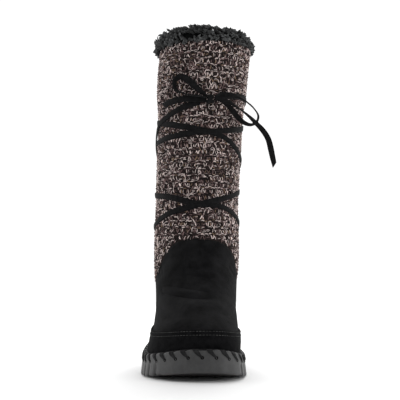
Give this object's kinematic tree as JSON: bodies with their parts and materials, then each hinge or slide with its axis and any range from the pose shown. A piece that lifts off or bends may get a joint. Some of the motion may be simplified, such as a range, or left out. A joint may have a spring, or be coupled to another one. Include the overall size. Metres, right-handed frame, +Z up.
{
  "type": "mukluk boot",
  "caption": "Tall right-foot mukluk boot with a knit shaft, fleece collar, suede foot, laced wraps tied in a bow and a whip-laced rubber cup sole.",
  "frame": {"origin": "on the ground under the middle of the boot's box, measured without the bow", "axes": "+Z up the shaft; -Y towards the toe; +X towards the inner side of the right foot"},
  "size_m": [0.1423, 0.2824, 0.363],
  "materials": {
    "sole_rubber": "matt dark grey moulded rubber",
    "insole_felt": "dark felt footbed",
    "shaft_knit": "chunky tweed knit of mauve brown, near-black and pale pink yarn, dark fleece lining",
    "foot_suede": "black suede with a short nap",
    "rand_suede": "black suede strip with two stitch rows",
    "collar_fleece": "shaggy charcoal fleece in curled locks",
    "sole_lacing": "thick black whip lacing",
    "suede_lace": "flat black suede lace"
  },
  "bodies": {
    "root": {"outsole": "sole_rubber", "insole": "insole_felt", "upper": "shaft_knit", "suede_foot": "foot_suede", "rand": "rand_suede", "fleece_trim": "collar_fleece", "whip_lacing": "sole_lacing", "lace_wraps": "suede_lace", "lace_knot": "suede_lace", "lace_loop_outer": "suede_lace", "lace_loop_inner": "suede_lace", "lace_end_outer": "suede_lace", "lace_end_inner": "suede_lace"}
  },
  "joints": []
}
